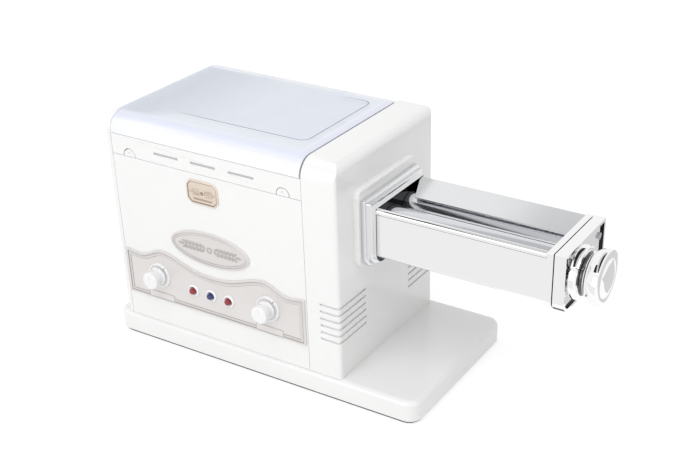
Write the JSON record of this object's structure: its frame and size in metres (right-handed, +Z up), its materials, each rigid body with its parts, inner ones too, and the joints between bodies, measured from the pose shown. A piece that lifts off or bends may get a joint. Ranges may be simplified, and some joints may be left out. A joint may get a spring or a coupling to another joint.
{
  "type": "electric pasta maker",
  "caption": "White electric pasta maker: a dough-mixing tub under a clear hinged lid, a control panel, and a chromed sheet roller unit on the side with a thickness knob.",
  "frame": {"origin": "on the floor, in the middle of the object's outline seen from above, the overhanging roller unit and knobs included", "axes": "+X towards the roller unit and its knob, +Y towards the back, +Z up; the controls look along -Y"},
  "size_m": [0.5264, 0.2014, 0.2493],
  "materials": {
    "white_case": "polished white moulding",
    "white_trim": "glossy white",
    "clear_lid": "clear, faintly blue",
    "tub": "pale translucent white",
    "panel": "satin silver paint",
    "bronze": "satin bronze",
    "chrome": "mirror",
    "satin_steel": "satin",
    "roller_steel": "polished roller",
    "gear_steel": "machined",
    "plain_steel": "zinc plated",
    "gear_plastic": "natural nylon",
    "bearing": "sintered bronze",
    "motor_can": "dark grey",
    "board": "circuit board green",
    "black_plastic": "fine grain",
    "rubber_foot": "matt",
    "seal": "matt",
    "cover_steel": "dark grey",
    "red_cap": "glossy",
    "blue_cap": "glossy"
  },
  "bodies": {
    "root": {"base_plate": "white_case", "base_cover": "cover_steel", "rubber_feet": "rubber_foot", "base_screws": "plain_steel", "rear_case": "white_case", "front_panel": "white_case", "drive_housing": "white_case", "slotted_strip": "white_case", "control_plate": "panel", "oval_badge": "panel", "crest_plate": "bronze", "hinge_pins": "plain_steel", "mixing_tub": "tub", "shaft_seal": "seal", "bulkhead": "plain_steel", "motor": "motor_can", "intermediate_stud": "plain_steel", "main_bearings": "bearing", "kneader_bush": "gear_plastic", "control_board": "board", "knob_rings": "white_trim", "speed_control": "plain_steel", "timer_control": "plain_steel", "button_bezels": "white_trim", "push_switches": "black_plastic", "power_inlet": "black_plastic", "lid_switch": "black_plastic", "case_screws": "plain_steel", "mounting_flange": "satin_steel", "inner_plate": "chrome", "end_plate": "chrome", "end_cap": "chrome", "end_cap_screws": "plain_steel", "casing_front": "chrome", "casing_back": "chrome", "feed_plate": "satin_steel", "tie_rods": "plain_steel", "scrapers": "plain_steel"},
    "lid": {"lid": "clear_lid"},
    "kneader": {"main_gear": "gear_plastic", "main_shaft": "plain_steel", "kneader_shaft": "satin_steel", "paddles": "satin_steel"},
    "intermediate": {"intermediate_gear": "gear_plastic"},
    "pinion": {"motor_pinion": "gear_steel"},
    "rear_roller": {"rear_roller": "roller_steel", "rear_roller_gear": "gear_steel"},
    "carriers": {"roller_carriers": "bearing"},
    "front_roller": {"front_roller": "roller_steel", "front_roller_gear": "gear_steel"},
    "regulator": {"regulator_shaft": "plain_steel", "spring_washers": "plain_steel"},
    "regulator_knob": {"regulator_knob": "chrome"},
    "speed_knob": {"speed_knob": "white_trim"},
    "timer_knob": {"timer_knob": "white_trim"},
    "button_left": {"button_left": "red_cap"},
    "button_middle": {"button_middle": "blue_cap"},
    "button_right": {"button_right": "red_cap"}
  },
  "joints": [
    {"name": "lid_hinge", "type": "hinge", "parent": "root", "child": "lid", "pos_m": [-0.12925, 0.09225, 0.2443], "axis": [-1, 0, 0], "range_deg": [0, 100]},
    {"name": "kneader_spin", "type": "hinge", "parent": "root", "child": "kneader", "pos_m": [-0.12925, 0.01805, 0.1733], "axis": [1, 0, 0], "continuous": true},
    {"name": "intermediate_spin", "type": "hinge", "parent": "root", "child": "intermediate", "pos_m": [0.00075, 0.0342, 0.11942], "axis": [1, 0, 0], "continuous": true},
    {"name": "pinion_spin", "type": "hinge", "parent": "root", "child": "pinion", "pos_m": [0.00075, 0.02805, 0.0703], "axis": [1, 0, 0], "continuous": true},
    {"name": "rear_roller_spin", "type": "hinge", "parent": "root", "child": "rear_roller", "pos_m": [0.12575, 0.01805, 0.1733], "axis": [1, 0, 0], "continuous": true},
    {"name": "roller_gap", "type": "slide", "parent": "root", "child": "carriers", "axis": [0, -1, 0], "range_m": [0, 0.0022]},
    {"name": "front_roller_spin", "type": "hinge", "parent": "carriers", "child": "front_roller", "pos_m": [0.12575, -0.01825, 0.1733], "axis": [1, 0, 0], "continuous": true},
    {"name": "regulator_turn", "type": "hinge", "parent": "root", "child": "regulator", "pos_m": [0.24075, -0.01825, 0.1733], "axis": [1, 0, 0], "range_deg": [0, 324]},
    {"name": "regulator_pull", "type": "slide", "parent": "regulator", "child": "regulator_knob", "axis": [1, 0, 0], "range_m": [0, 0.004], "stiffness_N_per_m": 900},
    {"name": "speed_knob_turn", "type": "hinge", "parent": "root", "child": "speed_knob", "pos_m": [-0.1965, -0.09225, 0.0833], "axis": [0, -1, 0], "range_deg": [-135, 135]},
    {"name": "timer_knob_turn", "type": "hinge", "parent": "root", "child": "timer_knob", "pos_m": [-0.0595, -0.09225, 0.0833], "axis": [0, -1, 0], "range_deg": [-135, 135]},
    {"name": "button_left_press", "type": "slide", "parent": "root", "child": "button_left", "axis": [0, 1, 0], "range_m": [0, 0.0015], "stiffness_N_per_m": 600},
    {"name": "button_middle_press", "type": "slide", "parent": "root", "child": "button_middle", "axis": [0, 1, 0], "range_m": [0, 0.0015], "stiffness_N_per_m": 600},
    {"name": "button_right_press", "type": "slide", "parent": "root", "child": "button_right", "axis": [0, 1, 0], "range_m": [0, 0.0015], "stiffness_N_per_m": 600}
  ],
  "couplings": [
    {"joint": "intermediate_spin", "follows": "kneader_spin", "ratio": -4},
    {"joint": "pinion_spin", "follows": "kneader_spin", "ratio": 14.857},
    {"joint": "rear_roller_spin", "follows": "kneader_spin", "ratio": 1},
    {"joint": "front_roller_spin", "follows": "kneader_spin", "ratio": -1},
    {"joint": "regulator_turn", "follows": "roller_gap", "rad_per_m": 2570.4}
  ]
}
